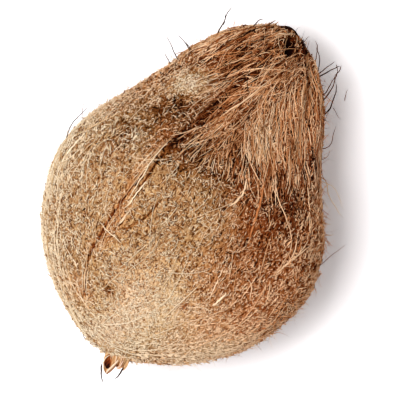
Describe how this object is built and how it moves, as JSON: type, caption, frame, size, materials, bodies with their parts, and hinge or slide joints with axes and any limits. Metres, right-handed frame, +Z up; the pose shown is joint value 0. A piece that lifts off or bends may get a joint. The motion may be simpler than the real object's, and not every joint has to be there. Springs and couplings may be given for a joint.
{
  "type": "coconut",
  "caption": "Ripe coconut with its outer husk torn off, lying on its side: round fibrous nut with blunt ridges, a tapering tuft of coir and a stump of husk.",
  "frame": {"origin": "on the small flat spot that the nut rests on, under its balance point", "axes": "+Y along the nut from the blunt end to the tip of the tuft, +Z up out of the ground, +X to the right"},
  "size_m": [0.1213, 0.1676, 0.1184],
  "materials": {
    "coir": "matt matted coir fibre, brown to straw coloured"
  },
  "bodies": {
    "root": {"coconut": "coir"}
  },
  "joints": []
}
